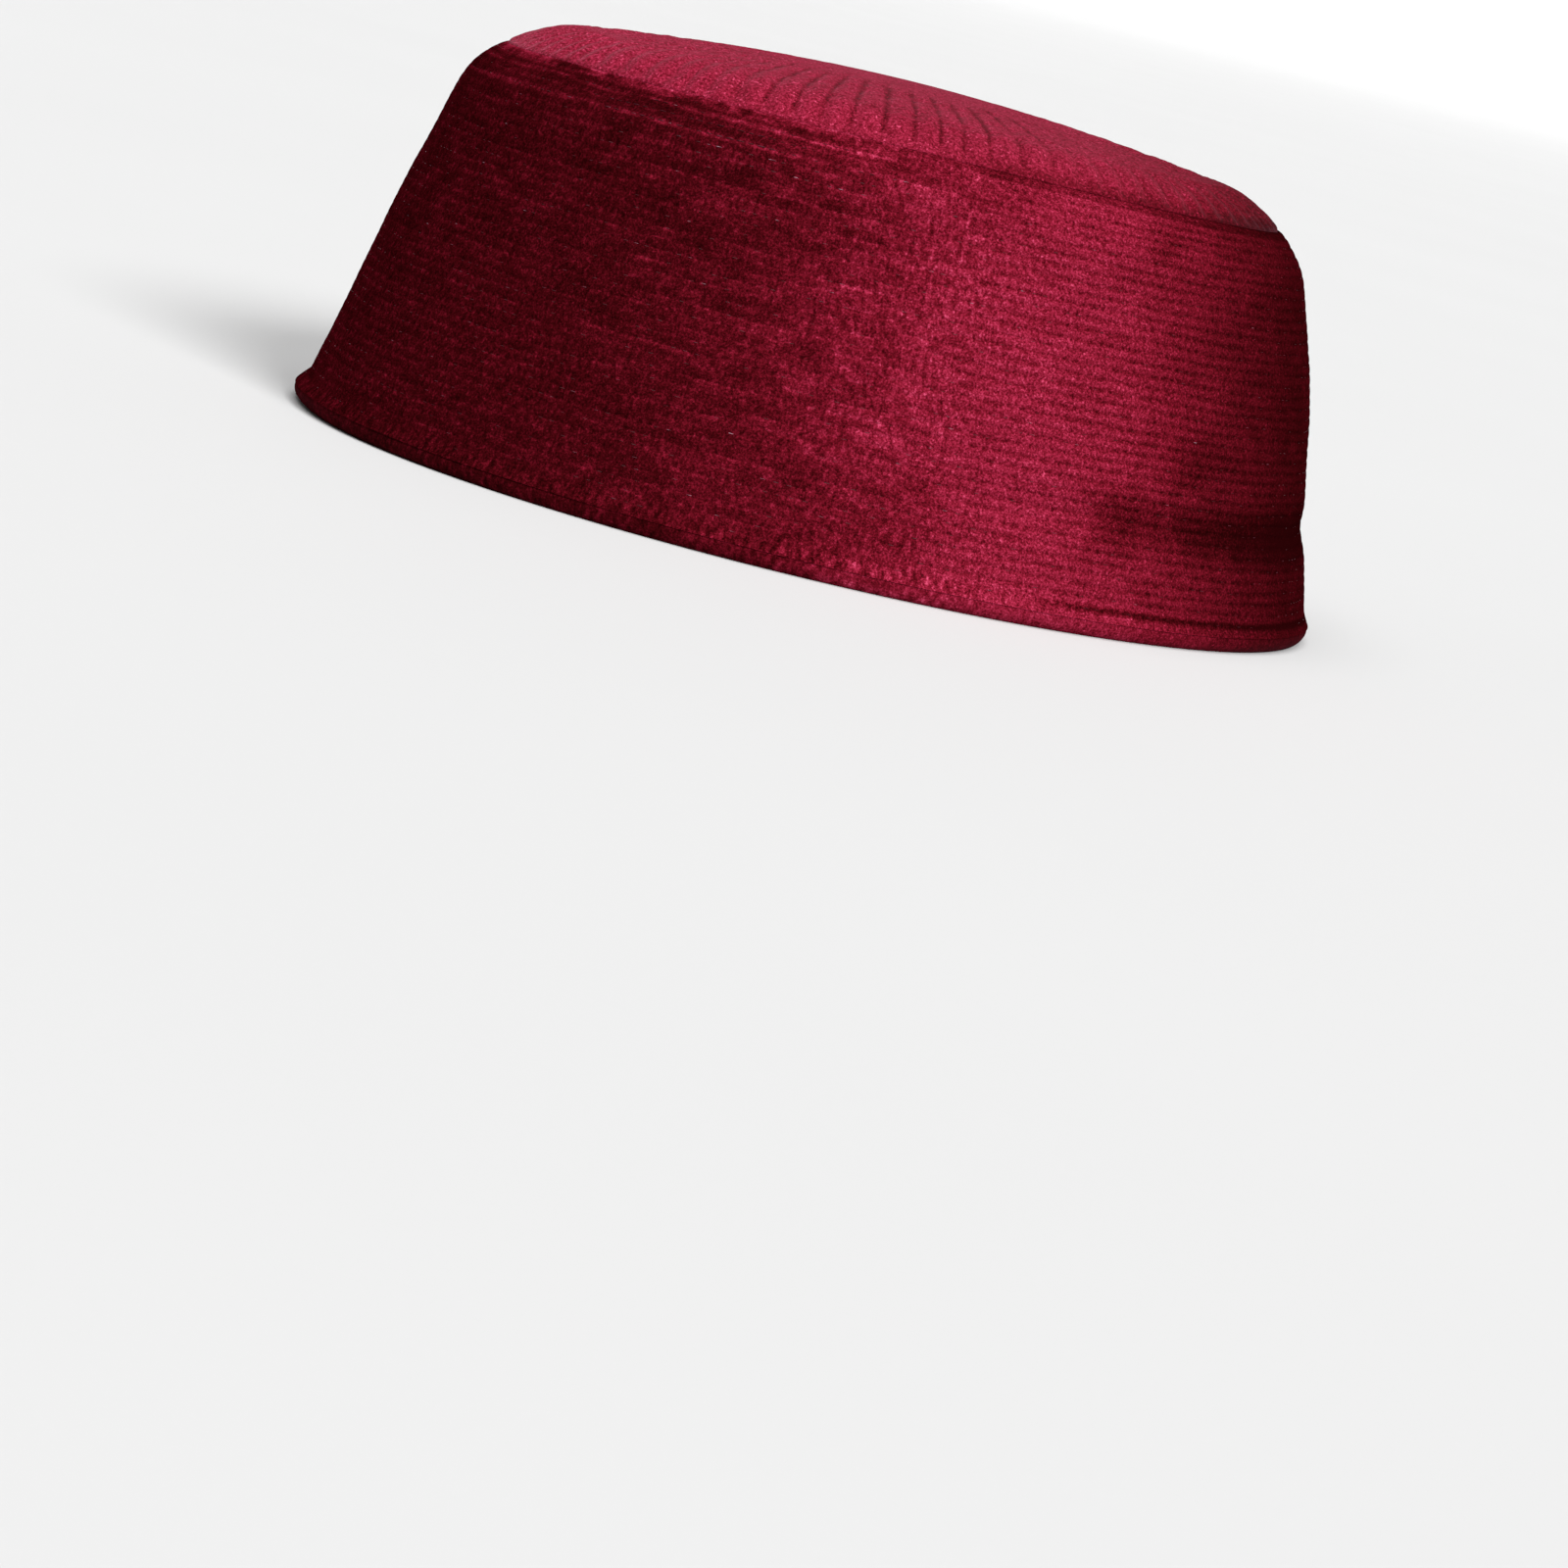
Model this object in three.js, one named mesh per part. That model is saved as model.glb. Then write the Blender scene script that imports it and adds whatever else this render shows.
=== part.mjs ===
// A quilted velvet prayer cap: an oval side band that leans inwards and rounds over at its shoulder,
// a shallow domed crown sewn inside the shoulder, and a rolled rim that the cap stands on.
// Millimetres, +Z up. The forehead is at -X, the nape at +X and the wearer's left at -Y.
// The origin is on the standing surface, under the middle of the cap.

import * as THREE from "three";

// Rolled rim: a round bead, pressed flat where it stands
const rimHalfLength = 104;
const rimHalfBreadth = 84;
const rimBeadRadius = 2.6;
const rimBeadHeight = 2.4;

// Side band
const bandFootHalfLength = 102.8;
const bandFootHeight = 5.3;
const bandThickness = 2.8;
const bandLean = THREE.MathUtils.degToRad(14.6);
const shoulderRadius = 16;
const shoulderTurn = THREE.MathUtils.degToRad(61);
const seamHeight = 77.9;
const sideLift = 1; // how much higher the seam runs over the ears than at the forehead and nape

// Crown
const crownThickness = 3;
const crownEdgeDrop = 2.8; // the edge that is turned down and sewn to the band
const crownRollWidth = 13.4;
const crownRollHeight = 3.9;
const crownDomeHeight = 6.9;
const sewnGap = 0.3;

const segmentsAround = 76;

// Soft dents and swellings of the cloth. azimuth is 0 at the nape and -90 at the wearer's left;
// push is how far the wall moves inwards at the middle, and the spreads are its reach to each side.
const dents = [
  { name: "nape crease", azimuth: -10, height: 22, push: 1, spreadAround: 26, spreadUp: 3.4 },
  { name: "ear side crease", azimuth: -52, height: 21, push: 0.9, spreadAround: 20, spreadUp: 3.2 },
  { name: "nape swelling", azimuth: 0, height: 47, push: -1, spreadAround: 42, spreadUp: 13 },
  { name: "nape shoulder", azimuth: 0, height: 73, push: 0.6, spreadAround: 42, spreadUp: 7 },
  { name: "forehead swelling", azimuth: 180, height: 45, push: -0.6, spreadAround: 40, spreadUp: 16 },
  { name: "seam tuck", azimuth: -140, height: 75.5, push: 0.5, spreadAround: 18, spreadUp: 2.2 },
];

// Values that follow from the dimensions
const narrowing = rimHalfLength - rimHalfBreadth; // of the half-breadths, from the half-lengths
const shoulderHeight = seamHeight - shoulderRadius * (Math.sin(shoulderTurn) - Math.sin(bandLean));
const shoulderHalfLength = bandFootHalfLength - (shoulderHeight - bandFootHeight) * Math.tan(bandLean);
const shoulderCentreX = shoulderHalfLength - shoulderRadius * Math.cos(bandLean);
const shoulderCentreZ = shoulderHeight - shoulderRadius * Math.sin(bandLean);
const seamHalfLength = shoulderCentreX + shoulderRadius * Math.cos(shoulderTurn);
const crownHalfLength = seamHalfLength - sewnGap;

const velvet = (colour) => new THREE.MeshStandardMaterial({ color: colour, roughness: 0.8, metalness: 0 });

const point = (halfLength, height) => new THREE.Vector2(halfLength, height);

// The angle from one azimuth to another in degrees, the short way round
function turnBetween(azimuth, other) {
  const turn = azimuth - other;
  return turn - 360 * Math.round(turn / 360);
}

function pushAt(azimuth, height) {
  let push = 0;
  for (const dent of dents) {
    const around = turnBetween(azimuth, dent.azimuth) / dent.spreadAround;
    const up = (height - dent.height) / dent.spreadUp;
    push += dent.push * Math.exp(-around * around - up * up);
  }
  return push;
}

// Spins a closed profile of half-lengths and heights, then shapes the round body to the cap's oval
function ovalBody(profile) {
  const body = new THREE.LatheGeometry([...profile, profile[0]], segmentsAround);
  body.rotateX(Math.PI / 2);
  const place = body.getAttribute("position");
  for (let i = 0; i < place.count; i += 1) {
    const x = place.getX(i);
    const y = place.getY(i);
    const height = place.getZ(i);
    const halfLength = Math.hypot(x, y);
    const angle = Math.atan2(y, x);
    const edgeShare = Math.min(1, halfLength / crownHalfLength);
    const push = pushAt(THREE.MathUtils.radToDeg(angle), height) * edgeShare;
    const halfBreadth = halfLength - narrowing * edgeShare;
    const lift = sideLift * Math.sin(angle) ** 2 * (height / seamHeight) * edgeShare;
    place.setXYZ(
      i,
      (halfLength - push) * Math.cos(angle),
      (halfBreadth - push) * Math.sin(angle),
      height + lift,
    );
  }
  body.deleteAttribute("uv");
  body.computeVertexNormals();
  return body;
}

// The bead's round section, open below where the standing flat closes it
function rimProfile() {
  const steps = 9;
  const flatAngle = Math.asin(rimBeadHeight / rimBeadRadius);
  const beadHalfLength = rimHalfLength - rimBeadRadius;
  const profile = [];
  for (let i = 0; i <= steps; i += 1) {
    const angle = THREE.MathUtils.lerp(-flatAngle, Math.PI + flatAngle, i / steps);
    const height = rimBeadHeight + rimBeadRadius * Math.sin(angle);
    profile.push(point(beadHalfLength + rimBeadRadius * Math.cos(angle), Math.max(0, height)));
  }
  return profile;
}

// A face of the band at a depth behind its outer face, from the foot to the seam
function bandFace(depth) {
  const wallHeights = [12, 17, 19.5, 22, 25, 31, 40, 50, 60];
  const shoulderSteps = 6;
  const radius = shoulderRadius - depth;
  const lastTurn = Math.acos((seamHalfLength - shoulderCentreX) / radius);
  const behind = depth / Math.cos(bandLean);
  const face = [];
  for (const height of [bandFootHeight, ...wallHeights]) {
    const outside = bandFootHalfLength - (height - bandFootHeight) * Math.tan(bandLean);
    face.push(point(outside - behind, height));
  }
  for (let i = 0; i <= shoulderSteps; i += 1) {
    const turn = THREE.MathUtils.lerp(bandLean, lastTurn, i / shoulderSteps);
    face.push(point(shoulderCentreX + radius * Math.cos(turn), shoulderCentreZ + radius * Math.sin(turn)));
  }
  return face;
}

function bandProfile() {
  return [...bandFace(0), ...bandFace(bandThickness).reverse()];
}

// The height of the crown's outer face: a shallow dome that rolls down to the seam at its edge
function crownHeight(halfLength) {
  const share = halfLength / crownHalfLength;
  const edgeShare = Math.max(0, 1 - (crownHalfLength - halfLength) / crownRollWidth);
  return seamHeight + crownRollHeight * (1 - edgeShare ** 2) + crownDomeHeight * (1 - share ** 2);
}

function crownProfile() {
  const outerSteps = [0, 1.5, 3, 5, 7.5, 10.5, 14, 22, 34, 54];
  const innerSteps = [0, 3, 6.5, 11, 22, 40];
  const edgeBottom = seamHeight - crownEdgeDrop;
  const insideEdge = crownHalfLength - crownThickness;
  const outer = [point(crownHalfLength, edgeBottom)];
  const inner = [point(insideEdge, edgeBottom)];
  for (const step of outerSteps) {
    const halfLength = crownHalfLength - step;
    outer.push(point(halfLength, crownHeight(halfLength)));
  }
  for (const step of innerSteps) {
    const halfLength = insideEdge - step;
    inner.push(point(halfLength, crownHeight(halfLength) - crownThickness));
  }
  outer.push(point(0, crownHeight(0)));
  inner.push(point(0, crownHeight(0) - crownThickness));
  return [...outer, ...inner.reverse()];
}

function piece(name, profile, colour) {
  const mesh = new THREE.Mesh(ovalBody(profile), velvet(colour));
  mesh.name = name;
  return mesh;
}

const cap = new THREE.Group();
cap.name = "prayer_cap";
cap.add(piece("rolled_rim", rimProfile(), 0x7a0a22));
cap.add(piece("side_band", bandProfile(), 0x8c0c2a));
cap.add(piece("crown_top", crownProfile(), 0xa0143a));

export default cap;
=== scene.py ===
import math

import bmesh
import bpy
import numpy as np
from mathutils import Matrix, Vector, noise


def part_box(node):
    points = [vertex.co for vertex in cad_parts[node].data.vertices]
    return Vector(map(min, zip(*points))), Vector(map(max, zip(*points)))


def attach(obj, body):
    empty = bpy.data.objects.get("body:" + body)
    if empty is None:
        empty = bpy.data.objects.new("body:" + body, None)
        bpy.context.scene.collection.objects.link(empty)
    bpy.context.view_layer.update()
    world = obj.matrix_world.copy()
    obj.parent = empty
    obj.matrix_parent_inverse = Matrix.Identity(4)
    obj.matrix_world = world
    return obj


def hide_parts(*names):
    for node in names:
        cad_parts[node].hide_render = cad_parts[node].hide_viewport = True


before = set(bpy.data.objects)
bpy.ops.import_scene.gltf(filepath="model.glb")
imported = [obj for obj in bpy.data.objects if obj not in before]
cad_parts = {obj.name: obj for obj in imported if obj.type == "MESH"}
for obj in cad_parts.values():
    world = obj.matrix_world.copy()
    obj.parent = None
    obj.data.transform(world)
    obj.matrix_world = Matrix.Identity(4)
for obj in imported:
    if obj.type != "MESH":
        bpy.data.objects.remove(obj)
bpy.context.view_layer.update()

mm = 0.001
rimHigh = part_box("rolled_rim")[1]
bandLow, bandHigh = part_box("side_band")
crownLow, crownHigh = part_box("crown_top")


# The form that all three pieces share. -X is the forehead side, +X the nape.
capForm = {
    "bandLean": math.radians(14.6),
    "bandThickness": 2.8 * mm,
    "shoulderRadius": 16 * mm,
    "shoulderTurn": math.radians(61),
    "beadRadius": 2.6 * mm,
    "beadHeight": 2.4 * mm,
    "sideLift": 1 * mm,
    "edgeDrop": 2.8 * mm,
    "sewnGap": 0.3 * mm,
    "crownRollWidth": 13.4 * mm,
    "crownRollHeight": 3.9 * mm,
    "crownThickness": 3 * mm,
    "rollBulge": 1 * mm,  # the hem rolls out this much further at the forehead
    "rollMiddle": 2.6 * mm,
    "rollReach": 2.9 * mm,
    "rollAround": 20,
}
capForm["narrowing"] = rimHigh.x - rimHigh.y
capForm["beadMiddle"] = rimHigh.x - capForm["beadRadius"]
capForm["seamHeight"] = crownLow.z + capForm["edgeDrop"]
turnSines = math.sin(capForm["shoulderTurn"]) - math.sin(capForm["bandLean"])
capForm["shoulderHeight"] = capForm["seamHeight"] - capForm["shoulderRadius"] * turnSines
wallRise = capForm["shoulderHeight"] - bandLow.z
shoulderHalfLength = bandHigh.x - wallRise * math.tan(capForm["bandLean"])
capForm["wallLength"] = wallRise / math.cos(capForm["bandLean"])
capForm["shoulderX"] = shoulderHalfLength - capForm["shoulderRadius"] * math.cos(capForm["bandLean"])
capForm["shoulderZ"] = capForm["shoulderHeight"] - capForm["shoulderRadius"] * math.sin(capForm["bandLean"])
capForm["seamHalfLength"] = (
    capForm["shoulderX"] + capForm["shoulderRadius"] * math.cos(capForm["shoulderTurn"])
)
capForm["crownHalfLength"] = capForm["seamHalfLength"] - capForm["sewnGap"]

# Soft dents and swellings: azimuth 0 is the nape and -90 the wearer's left, push is inwards
dents = [
    {"azimuth": -10, "height": 22, "push": 1, "around": 26, "up": 3.4},
    {"azimuth": -52, "height": 21, "push": 0.9, "around": 20, "up": 3.2},
    {"azimuth": 0, "height": 47, "push": -1, "around": 42, "up": 13},
    {"azimuth": 0, "height": 73, "push": 0.6, "around": 42, "up": 7},
    {"azimuth": 180, "height": 45, "push": -0.6, "around": 40, "up": 16},
    {"azimuth": -140, "height": 75.5, "push": 0.5, "around": 18, "up": 2.2},
]


def pushAt(angle, height):
    push = 0
    for dent in dents:
        turn = math.degrees(angle) - dent["azimuth"]
        around = (turn - 360 * round(turn / 360)) / dent["around"]
        up = (height / mm - dent["height"]) / dent["up"]
        push += dent["push"] * mm * math.exp(-around * around - up * up)
    return push


# How far the hem's outside stands out at a place: a round swelling, most at the forehead
def rollAt(angle, halfLength, height):
    fromMiddle = (height - capForm["rollMiddle"]) / capForm["rollReach"]
    outside = min(1, max(0, (halfLength - capForm["beadMiddle"]) / capForm["beadRadius"]))
    around = (180 - abs(math.degrees(angle))) / capForm["rollAround"]
    roundness = math.sqrt(max(0, 1 - fromMiddle * fromMiddle))
    return capForm["rollBulge"] * outside * roundness * math.exp(-around * around)


def ovalPlace(angle, halfLength, height):
    halfLength += rollAt(angle, halfLength, height)
    edgeShare = min(1, halfLength / capForm["crownHalfLength"])
    push = pushAt(angle, height) * edgeShare
    halfBreadth = halfLength - capForm["narrowing"] * edgeShare
    lift = capForm["sideLift"] * math.sin(angle) ** 2 * height / capForm["seamHeight"] * edgeShare
    return Vector((
        (halfLength - push) * math.cos(angle),
        (halfBreadth - push) * math.sin(angle),
        height + lift,
    ))


# Puts a spun mesh in the order of its rings and steps, because the cloth swells alike on every run
# only if it is given its points, edges and faces in the same order
def setOrder(bm, steps):
    ringLayer = bm.verts.layers.int["ring"]
    turnLayer = bm.verts.layers.float["turn"]
    bm.verts.sort(key=lambda vert: vert[ringLayer] * steps + round(vert[turnLayer] * steps) % steps)
    bm.verts.index_update()
    count = len(bm.verts)

    def rank(part):
        first, second, *others = sorted(vert.index for vert in part.verts)
        return (first * count + second) * count + (others[0] if others else 0)

    bm.edges.sort(key=rank)
    bm.faces.sort(key=rank)
    bm.edges.index_update()
    bm.faces.index_update()


# Spins a closed profile of (half-length, height, along) points round the middle, shaped to the oval.
# Each point keeps its ring number, how far along the cloth it is, and its turn from 0 to 1.
def spinCloth(profile, steps, fan=None):
    bm = bmesh.new()
    ringLayer = bm.verts.layers.int.new("ring")
    alongLayer = bm.verts.layers.float.new("along")
    turnLayer = bm.verts.layers.float.new("turn")
    chain = []
    for ring, (halfLength, height, along) in enumerate(profile):
        vert = bm.verts.new((halfLength, 0, height))
        vert[ringLayer] = ring
        vert[alongLayer] = along
        chain.append(vert)
    pairs = zip(chain, chain[1:] + chain[:1])
    edges = [bm.edges.new(pair) for pair in pairs if pair[0].co.x + pair[1].co.x > 0]
    bmesh.ops.spin(
        bm, geom=chain + edges, cent=(0, 0, 0), axis=(0, 0, 1), angle=2 * math.pi,
        steps=steps, use_merge=True, use_duplicate=False,
    )
    bmesh.ops.remove_doubles(bm, verts=bm.verts, dist=1e-7)
    for vert in bm.verts:
        angle = math.atan2(vert.co.y, vert.co.x)
        halfLength = math.hypot(vert.co.x, vert.co.y)
        vert[turnLayer] = angle / (2 * math.pi) % 1
        vert.co = ovalPlace(fan(angle, halfLength) if fan else angle, halfLength, vert.co.z)
    bmesh.ops.recalc_face_normals(bm, faces=bm.faces)
    setOrder(bm, steps)
    return bm


def isPole(vert):
    return math.hypot(vert.co.x, vert.co.y) < 1e-5


# Lays the cloth out flat: U counts stitches round the cap and V is the along value
def addClothMap(bm, aroundCount):
    turnLayer = bm.verts.layers.float["turn"]
    alongLayer = bm.verts.layers.float["along"]
    clothMap = bm.loops.layers.uv.new("cloth")
    for face in bm.faces:
        turns = [loop.vert[turnLayer] for loop in face.loops if not isPole(loop.vert)]
        crossing = max(turns) - min(turns) > 0.5
        turns = [turn + 1 if crossing and turn < 0.5 else turn for turn in turns]
        middle = sum(turns) / len(turns)
        for loop in face.loops:
            turn = middle if isPole(loop.vert) else turns.pop(0)
            loop[clothMap].uv = (turn * aroundCount, loop.vert[alongLayer])


def finishPiece(bm, name, materials):
    mesh = bpy.data.meshes.new(name)
    bm.to_mesh(mesh)
    bm.free()
    for material in materials:
        mesh.materials.append(material)
    mesh.polygons.foreach_set("use_smooth", [True] * len(mesh.polygons))
    piece = bpy.data.objects.new(name, mesh)
    bpy.context.scene.collection.objects.link(piece)
    return piece


# Shader maths: a Flow is a socket, and the usual operators add Math nodes
class Flow:
    def __init__(self, tree, socket=None):
        self.tree = tree
        self.socket = socket

    def node(self, kind, settings=None, inputs=None, output=0):
        made = self.tree.nodes.new(kind)
        for name, value in (settings or {}).items():
            if name == "stops":
                ramp = made.color_ramp.elements
                ramp.remove(ramp[1])
                ramp[0].position = value[0][0]
                ramp[0].color = (*value[0][1], 1)
                for position, colour in value[1:]:
                    ramp.new(position).color = (*colour, 1)
            else:
                setattr(made, name, value)
        for name, value in (inputs or {}).items():
            if isinstance(value, Flow):
                self.tree.links.new(value.socket, made.inputs[name])
            else:
                made.inputs[name].default_value = value
        return Flow(self.tree, made.outputs[output]) if made.outputs else None

    def maths(self, operation, first, second=0.0, clamp=False):
        return self.node(
            "ShaderNodeMath", {"operation": operation, "use_clamp": clamp}, {0: first, 1: second}
        )

    def __add__(self, other):
        return self.maths("ADD", self, other)

    def __radd__(self, other):
        return self.maths("ADD", other, self)

    def __sub__(self, other):
        return self.maths("SUBTRACT", self, other)

    def __rsub__(self, other):
        return self.maths("SUBTRACT", other, self)

    def __mul__(self, other):
        return self.maths("MULTIPLY", self, other)

    def __rmul__(self, other):
        return self.maths("MULTIPLY", other, self)

    def __truediv__(self, other):
        return self.maths("DIVIDE", self, other)

    def clamped(self):
        return self.maths("ADD", self, 0.0, clamp=True)

    def floored(self):
        return self.maths("FLOOR", self)

    def distanceFromWhole(self):
        return self.maths("ABSOLUTE", self.maths("FRACT", self + 0.5) - 0.5)

    def noiseAt(self, scale, detail=0.0, roughness=0.5):
        inputs = {"Vector": self, "Scale": scale, "Detail": detail, "Roughness": roughness}
        return self.node("ShaderNodeTexNoise", {}, inputs) - 0.5

    # Noise with clipped ends, so that it is full in some places and nothing in others
    def speckled(self, scale, detail, contrast, level):
        return (self.noiseAt(scale, detail) * contrast + level).clamped()

    def stretched(self, scale):
        return self.node("ShaderNodeMapping", {}, {"Vector": self, "Scale": scale})

    def eased(self, low, high):
        inputs = {"Value": self, "From Min": low, "From Max": high}
        return self.node("ShaderNodeMapRange", {"interpolation_type": "SMOOTHSTEP"}, inputs)

    def part(self, axis):
        return self.node("ShaderNodeSeparateXYZ", {}, {"Vector": self}, axis)

    def ramp(self, stops):
        return self.node("ShaderNodeValToRGB", {"stops": stops}, {"Fac": self})

    # 1 at the middle of a soft spot, 0 past its reach
    def near(self, middle, reach):
        return self.maths("ABSOLUTE", self - middle).eased(reach, 0)


def newMaterial(name):
    material = bpy.data.materials.new(name)
    material.use_nodes = True
    material.node_tree.nodes.clear()
    return material, Flow(material.node_tree)


velvetStops = [
    (0.0, (0.014, 0.0007, 0.0011)),
    (0.25, (0.046, 0.0017, 0.0034)),
    (0.5, (0.130, 0.0045, 0.0125)),
    (0.75, (0.290, 0.0158, 0.0440)),
    (1.0, (0.560, 0.0700, 0.1500)),
]

# What all the velvet shares. Scales are noise per metre. A pair says where a change starts and where it
# is full, along the cap from 0 at the forehead to 1 at the nape, or in rows counted up from the foot.
velvet = {
    "streakScale": 430,
    "drawnOut": 0.3,  # distances along the rows count this much, which draws the streaks out
    "rowDrawnOut": 0.22,
    "streakShare": 0.5,
    "rowStreakShare": 0.85,
    "crushScale": 48,
    "patchScale": 150,
    "paintedGlintScale": 1500,
    "paintedGlintLevel": 0.13,
    "steadyFrom": (0.46, 0.62),  # the nap changes place less towards the nape
    "steadiness": 0.72,
    "lowRows": (22, 6),
    "standingNear": (0.54, 0.14),  # the middle and the reach of the place where the pile stands up
    "standing": 0.4,
    "flatFrom": (0.6, 0.74),
    "flatness": 0.5,
    "footRows": (1.7, 1),
    "brightest": 1.3,
    "grainFloor": 0.62,
    "grainByNapAndPaintedShading": 0.6,
    "bump": 0.6,
    "bumpDepth": 0.25 * mm,
    "roughness": 0.75,
    "sheenTint": (1.0, 0.4, 0.52, 1),
}

# The pile on the quilted rows
rowPile = {
    "grooveRows": (1.4, 2.2),
    "holeRows": (0.4, 0.8),
    "leastShade": 0.35,
    "forwardShade": 0.85,  # how strongly the rows are shaded, with more added towards the nape
    "napeShadeFrom": (0.68, 0.86),
    "napeShade": 0.5,
    "lyingShadedFrom": (0.5, 0.66),
    "ridgesUpTo": (0.58, 0.42),
    "ridgeEdge": (0.24, 0.06),  # in ridges
    "tuftsUpTo": (0.54, 0.42),
    "seamFrom": (0.5, 0.58),
    "hemFrom": (0.7, 0.78),
    "hemReach": 0.5,
    "creaseFrom": (0.76, 0.89),
    "grooveDepth": 0.5,
    "holeDepth": 0.7,
}

# The pile along the crown's sewn lines
linePile = {
    "drawnFrom": (0.2, 0.4),
    "fainterFrom": (0.6, 0.72),
    "fainter": 0.6,
    "seamFrom": (0.55, 0.68),
    "grooveDepth": 0.5,
}


# Pile velvet, with one piece's own settings in look. The nap table says how bright the pile is painted from
# the forehead end, 0, to the nape end, 1: partly the brushed nap, mostly painted light and shade, dark over
# the forehead, lit where the key light falls past the middle and painted shade again at the nape. Crushing
# breaks its edges up into streaks along the rows, less so in the low rows where footCalm is set.
def velvetMaterial(name, look):
    material, flow = newMaterial(name)
    place = flow.node("ShaderNodeTexCoord", {}, {}, "Object")
    cloth = flow.node("ShaderNodeUVMap", {"uv_map": "cloth"})
    x = place.part("X")
    height = place.part("Z")
    stitchCount = cloth.part("X")
    rowCount = cloth.part("Y")
    lengthwise = x / (look["halfLength"] - height * look["taper"]) * 0.5 + 0.5
    alongRows = flow.node("ShaderNodeCombineXYZ", {}, {
        "X": x * velvet["drawnOut"],
        "Y": place.part("Y") * velvet["drawnOut"],
        "Z": rowCount * look["rowReach"],
    })
    inEachRow = flow.node("ShaderNodeCombineXYZ", {}, {
        "X": x * velvet["rowDrawnOut"],
        "Y": place.part("Y") * velvet["rowDrawnOut"],
        "Z": rowCount.floored() * look["rowReach"] * 2,
    })
    streaks = (
        alongRows.noiseAt(velvet["streakScale"], 2, 0.6) * velvet["streakShare"]
        + inEachRow.noiseAt(velvet["streakScale"], 2, 0.6) * velvet["rowStreakShare"]
    )
    crush = place.noiseAt(velvet["crushScale"], 3, 0.6)
    patches = place.noiseAt(velvet["patchScale"], 3, 0.65)
    wander = (crush * look["crushWander"] + streaks * look["streakWander"]) * 0.5
    calm = 1 - rowCount.eased(*velvet["lowRows"]) * look["footCalm"]
    wander = wander * (1 - lengthwise.eased(*velvet["steadyFrom"]) * velvet["steadiness"]) * calm
    # the nap table made into a tone: brushed nap together with painted light and shade
    napAndPaintedShadingStops = [(share, (tone, tone, tone)) for share, tone in look["napAndPaintedShading"]]
    napAndPaintedShading = (lengthwise + wander).ramp(napAndPaintedShadingStops)
    dashes = cloth.stretched(look["dashSize"]).noiseAt(1, 1)
    upright = (
        1 + lengthwise.near(*velvet["standingNear"]) * velvet["standing"]
        - lengthwise.eased(*velvet["flatFrom"]) * velvet["flatness"]
    )
    grain = place.noiseAt(look["grainScale"], 2, 0.75)
    # painted glints: sparse bright specks in the colour stand in for light caught by the pile fibres
    paintedGlints = (place.noiseAt(velvet["paintedGlintScale"], 1) - velvet["paintedGlintLevel"]).clamped()
    foot = rowCount.eased(*velvet["footRows"]) * look["footDashes"] + 1
    blotches = patches * look["patches"] + streaks * look["streaks"]
    fibres = dashes * upright * foot * look["dashes"] + grain * look["grain"]
    tone = (
        napAndPaintedShading + blotches * (velvet["brightest"] - napAndPaintedShading) * calm
        + fibres * (napAndPaintedShading * velvet["grainByNapAndPaintedShading"] + velvet["grainFloor"])
        + paintedGlints * look["paintedGlints"]
    )
    pile = dashes * 0.6 + grain
    if look["sewn"] == "rows":
        # where the pile lies down the rows get painted shade in their grooves, broken, with darker painted
        # shade in a hole at each stitch
        fromRow = rowCount.distanceFromWhole() * look["rowPitch"]
        offset = (rowCount + 0.5).floored() * stitch["rowOffset"]
        fromHole = (stitchCount - offset).distanceFromWhole() * look["stitchPitch"]
        groove = fromRow.eased(look["grooveWidth"], 0) * rowCount.eased(*rowPile["grooveRows"])
        broken = place.speckled(220, 2, 3.5, 0.75)
        hole = fromRow.eased(look["holeWidth"], 0) * fromHole.eased(look["holeLength"], 0)
        hole = hole * rowCount.eased(*rowPile["holeRows"])
        shadow = groove * look["groovePaintedShade"] + hole * look["holePaintedShade"]
        shadow = shadow * broken * (napAndPaintedShading + rowPile["leastShade"])
        napeShade = lengthwise.eased(*rowPile["napeShadeFrom"]) * rowPile["napeShade"]
        shadow = shadow * (rowPile["forwardShade"] + napeShade)
        lyingShaded = lengthwise.eased(*rowPile["lyingShadedFrom"])
        # where the pile stands up the rows get painted highlights, dotted along the grooves and in ridges
        # beside the crown, with a little painted shade over the rows there
        nearSeam = rowCount.eased(*look["ridgeRows"]) * lengthwise.eased(*rowPile["ridgesUpTo"])
        specks = place.speckled(900, 1, 4, 0.35) * (streaks * 2 + 0.7).clamped()
        paintedRidgeHighlights = groove * specks * look["specksPaintedHighlight"]
        fromRidge = (rowCount * 0.5 + streaks * 0.2).distanceFromWhole()
        seamRidge = fromRidge.eased(*rowPile["ridgeEdge"]) * (streaks * 2 + 0.5).clamped()
        paintedRidgeHighlights = paintedRidgeHighlights + nearSeam * seamRidge * look["ridgePaintedHighlight"]
        tone = tone - shadow * lyingShaded + paintedRidgeHighlights * (1 - lyingShaded) - nearSeam * look["channelPaintedShade"]
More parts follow.
